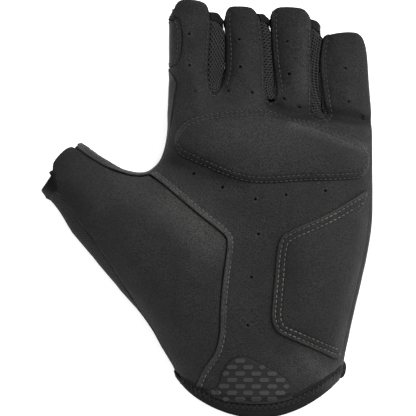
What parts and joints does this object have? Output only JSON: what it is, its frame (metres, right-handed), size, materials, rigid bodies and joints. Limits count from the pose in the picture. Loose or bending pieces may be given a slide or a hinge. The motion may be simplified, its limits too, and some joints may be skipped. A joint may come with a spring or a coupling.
{
  "type": "cycling glove",
  "caption": "Fingerless cycling glove for the left hand: a hollow suede palm with raised pads, mesh between the fingers and a stretch back, lying palm up.",
  "frame": {"origin": "centre of the bounding box's base, on the surface that the glove lies on", "axes": "+Y along the fingers, -X to the thumb, +Z out of the palm"},
  "size_m": [0.1436, 0.1782, 0.0291],
  "materials": {
    "suede": "matt black synthetic suede",
    "grip": "suede printed with rubber",
    "binding": "black elastic tape",
    "mesh": "black knitted mesh",
    "back": "white brushed stretch fabric",
    "strap": "matt moulded strap"
  },
  "bodies": {
    "root": {"palm_panel": "suede", "thumb_panel": "suede", "heel_pad": "suede", "knuckle_pad": "suede", "index_side_tab": "suede", "grip_patch": "grip", "thumb_web_band": "binding", "thumb_hem": "binding", "index_hem": "binding", "middle_hem": "binding", "ring_hem": "binding", "little_hem": "binding", "wrist_binding": "binding", "gusset_index_middle": "mesh", "gusset_middle_ring": "mesh", "gusset_ring_little": "mesh", "thumb_back_mesh": "mesh", "back_panel": "back", "closure_strap": "strap"}
  },
  "joints": []
}
